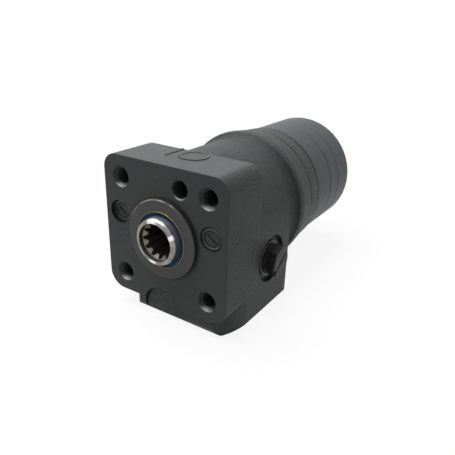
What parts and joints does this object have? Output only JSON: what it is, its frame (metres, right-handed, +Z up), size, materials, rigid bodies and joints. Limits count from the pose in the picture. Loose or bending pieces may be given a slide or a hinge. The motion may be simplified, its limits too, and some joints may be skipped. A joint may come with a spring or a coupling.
{
  "type": "orbital steering unit",
  "caption": "Rotary hydraulic steering valve in a square-fronted housing with splined input, gerotor stack, end cover and side relief plug.",
  "frame": {"origin": "centre of the mounting face, on the spool axis", "axes": "+Y along the spool axis to the rear, +Z up, away from the port face, +X to the right seen from the front"},
  "size_m": [0.092, 0.1823, 0.0957],
  "materials": {
    "cast_paint": "as-cast paint",
    "turned_paint": "smooth satin paint over turned metal",
    "yellow_plated": "thin yellow passivated rim",
    "blue_seal": "smooth blue polyurethane",
    "black_rubber": "smooth",
    "bright_steel": "ground and polished",
    "hardened_steel": "ground",
    "black_steel": "black oxide, satin",
    "front_plug_paint": "painted over with the housing",
    "screw_paint": "painted over with the cover"
  },
  "bodies": {
    "housing_group": {"housing": "cast_paint", "seal_case": "yellow_plated", "dust_seal": "blue_seal", "shaft_seal": "black_rubber", "front_race": "hardened_steel", "distributor_plate": "turned_paint", "gerotor_ring": "turned_paint", "end_cover": "turned_paint", "front_seal_ring": "black_rubber", "middle_seal_ring": "black_rubber", "rear_seal_ring": "black_rubber", "cover_screws": "screw_paint", "check_screw": "screw_paint", "screw_washers": "screw_paint", "check_bushing": "hardened_steel", "relief_plug": "black_steel", "relief_washer": "black_steel", "relief_seat": "hardened_steel", "relief_spring": "hardened_steel", "left_valve_sleeve": "front_plug_paint", "left_valve_screw": "front_plug_paint", "left_valve_spring": "hardened_steel", "right_valve_sleeve": "front_plug_paint", "right_valve_screw": "front_plug_paint", "right_valve_spring": "hardened_steel"},
    "needle_set": {"needle_cage": "hardened_steel", "needle_rollers": "hardened_steel"},
    "sleeve_set": {"control_sleeve": "bright_steel", "rear_race": "hardened_steel", "flat_leaves": "hardened_steel", "arched_leaves": "hardened_steel", "spring_ring": "hardened_steel", "cross_pin": "hardened_steel"},
    "spool": {"control_spool": "bright_steel"},
    "orbit_carrier": {"cardan_spacer": "hardened_steel"},
    "star": {"gerotor_star": "hardened_steel"},
    "cardan": {"cardan_shaft": "hardened_steel"},
    "check_ball": {"check_ball": "hardened_steel"},
    "relief_poppet": {"relief_poppet": "hardened_steel"},
    "left_ball": {"left_valve_ball": "hardened_steel"},
    "right_ball": {"right_valve_ball": "hardened_steel"}
  },
  "joints": [
    {"name": "steering_rotation", "type": "hinge", "parent": "housing_group", "child": "sleeve_set", "pos_m": [0, 0.06, 0], "axis": [0, 1, 0], "continuous": true},
    {"name": "spool_deflection", "type": "hinge", "parent": "sleeve_set", "child": "spool", "pos_m": [0, 0.06, 0], "axis": [0, 1, 0], "range_deg": [-8, 8], "stiffness_Nm_per_rad": 3, "deforming": ["arched_leaves", "flat_leaves"]},
    {"name": "needle_rotation", "type": "hinge", "parent": "housing_group", "child": "needle_set", "pos_m": [0, 0.013, 0], "axis": [0, 1, 0], "continuous": true},
    {"name": "star_orbit", "type": "hinge", "parent": "housing_group", "child": "orbit_carrier", "pos_m": [0, 0.1417, 0], "axis": [0, 1, 0], "continuous": true},
    {"name": "star_spin", "type": "hinge", "parent": "orbit_carrier", "child": "star", "pos_m": [0.0026, 0.1417, 0], "axis": [0, 1, 0], "continuous": true},
    {"name": "cardan_spin", "type": "hinge", "parent": "orbit_carrier", "child": "cardan", "pos_m": [0, 0.062, 0], "axis": [0.0326, 0.9995, 0], "continuous": true},
    {"name": "check_ball_lift", "type": "slide", "parent": "housing_group", "child": "check_ball", "axis": [0, 1, 0], "range_m": [0, 0.0012]},
    {"name": "relief_lift", "type": "slide", "parent": "housing_group", "child": "relief_poppet", "axis": [1, 0, 0], "range_m": [0, 0.0015], "stiffness_N_per_m": 1500, "springref_m": -0.002, "deforming": ["relief_spring"]},
    {"name": "left_valve_lift", "type": "slide", "parent": "housing_group", "child": "left_ball", "axis": [0, -1, 0], "range_m": [0, 0.001], "stiffness_N_per_m": 1500, "springref_m": -0.002, "deforming": ["left_valve_spring"]},
    {"name": "right_valve_lift", "type": "slide", "parent": "housing_group", "child": "right_ball", "axis": [0, -1, 0], "range_m": [0, 0.001], "stiffness_N_per_m": 1500, "springref_m": -0.002, "deforming": ["right_valve_spring"]}
  ],
  "couplings": [
    {"joint": "needle_rotation", "follows": "steering_rotation", "ratio": 0.5},
    {"joint": "star_orbit", "follows": "steering_rotation", "ratio": -6},
    {"joint": "star_spin", "follows": "steering_rotation", "ratio": 7},
    {"joint": "cardan_spin", "follows": "steering_rotation", "ratio": 7}
  ]
}
